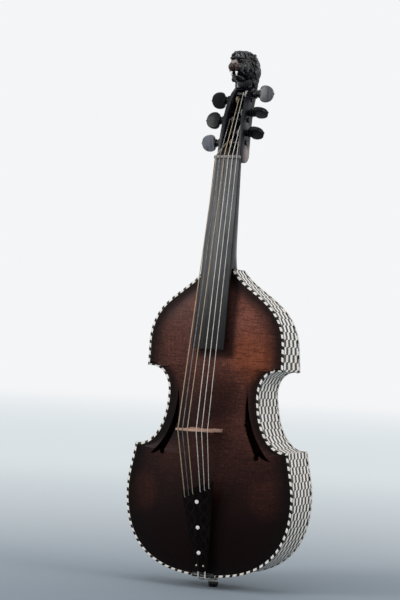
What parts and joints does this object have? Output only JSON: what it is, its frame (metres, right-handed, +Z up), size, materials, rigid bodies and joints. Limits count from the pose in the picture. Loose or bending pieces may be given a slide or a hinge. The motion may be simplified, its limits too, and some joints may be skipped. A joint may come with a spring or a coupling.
{
  "type": "treble viola da gamba",
  "caption": "Small viol with waisted body, arched belly, flat canted back, chequered ribs, gut strings over an unfretted fingerboard, tuning pegs and a carved lion's head.",
  "frame": {"origin": "centre of the end button's flat foot", "axes": "+Z up the strings from the end button to the head, -Y out of the belly, +X to the right as seen from the front"},
  "size_m": [0.2216, 0.1254, 0.6647],
  "materials": {
    "varnish": "dark red-brown varnish, satin gloss",
    "chequer": "black and white chequered veneer, polished",
    "edging": "alternating ivory-white and black edge blocks",
    "inner_wood": "bare spruce and willow",
    "black_wood": "ebonised wood, worn satin",
    "ebony": "polished black hardwood",
    "bridge_wood": "bare maple, lightly oiled",
    "gut": "twisted gut, satin",
    "wound_gut": "gut close-wound with dark wire"
  },
  "bodies": {
    "instrument": {"top_plate": "varnish", "back_plate": "varnish", "top_edging": "edging", "back_edging": "edging", "lower_rib_left": "chequer", "middle_rib_left": "chequer", "upper_rib_left": "chequer", "lower_rib_right": "chequer", "middle_rib_right": "chequer", "upper_rib_right": "chequer", "lower_corner_block_left": "inner_wood", "upper_corner_block_left": "inner_wood", "lower_front_lining_left": "inner_wood", "lower_back_lining_left": "inner_wood", "middle_front_lining_left": "inner_wood", "middle_back_lining_left": "inner_wood", "upper_front_lining_left": "inner_wood", "upper_back_lining_left": "inner_wood", "lower_corner_block_right": "inner_wood", "upper_corner_block_right": "inner_wood", "lower_front_lining_right": "inner_wood", "lower_back_lining_right": "inner_wood", "middle_front_lining_right": "inner_wood", "middle_back_lining_right": "inner_wood", "upper_front_lining_right": "inner_wood", "upper_back_lining_right": "inner_wood", "neck_block": "inner_wood", "end_block": "inner_wood", "bass_bar": "inner_wood", "sound_post": "inner_wood", "sound_post_board": "inner_wood", "bend_brace": "inner_wood", "lower_back_brace": "inner_wood", "neck": "black_wood", "lion_head": "black_wood", "fingerboard": "ebony", "nut": "ebony", "tailpiece": "ebony", "saddle": "ebony", "end_button": "ebony", "bridge": "bridge_wood", "tailgut": "gut", "string_1": "gut", "string_2": "wound_gut", "string_3": "gut", "string_4": "gut", "string_5": "gut", "string_6": "gut"},
    "tuning_peg_1": {"peg_1": "ebony", "winding_1": "gut"},
    "tuning_peg_2": {"peg_2": "ebony", "winding_2": "wound_gut"},
    "tuning_peg_3": {"peg_3": "ebony", "winding_3": "gut"},
    "tuning_peg_4": {"peg_4": "ebony", "winding_4": "gut"},
    "tuning_peg_5": {"peg_5": "ebony", "winding_5": "gut"},
    "tuning_peg_6": {"peg_6": "ebony", "winding_6": "gut"}
  },
  "joints": [
    {"name": "peg_1_turn", "type": "hinge", "parent": "instrument", "child": "tuning_peg_1", "pos_m": [0, -0.003, 0.54647], "axis": [-1, 0, 0], "continuous": true},
    {"name": "peg_2_turn", "type": "hinge", "parent": "instrument", "child": "tuning_peg_2", "pos_m": [0, 0.002, 0.57548], "axis": [-1, 0, 0], "continuous": true},
    {"name": "peg_3_turn", "type": "hinge", "parent": "instrument", "child": "tuning_peg_3", "pos_m": [0, 0.0123, 0.60213], "axis": [-1, 0, 0], "continuous": true},
    {"name": "peg_4_turn", "type": "hinge", "parent": "instrument", "child": "tuning_peg_4", "pos_m": [0, 0.01501, 0.60988], "axis": [1, 0, 0], "continuous": true},
    {"name": "peg_5_turn", "type": "hinge", "parent": "instrument", "child": "tuning_peg_5", "pos_m": [0, 0.00562, 0.58508], "axis": [1, 0, 0], "continuous": true},
    {"name": "peg_6_turn", "type": "hinge", "parent": "instrument", "child": "tuning_peg_6", "pos_m": [0, -0.00152, 0.55892], "axis": [1, 0, 0], "continuous": true}
  ]
}
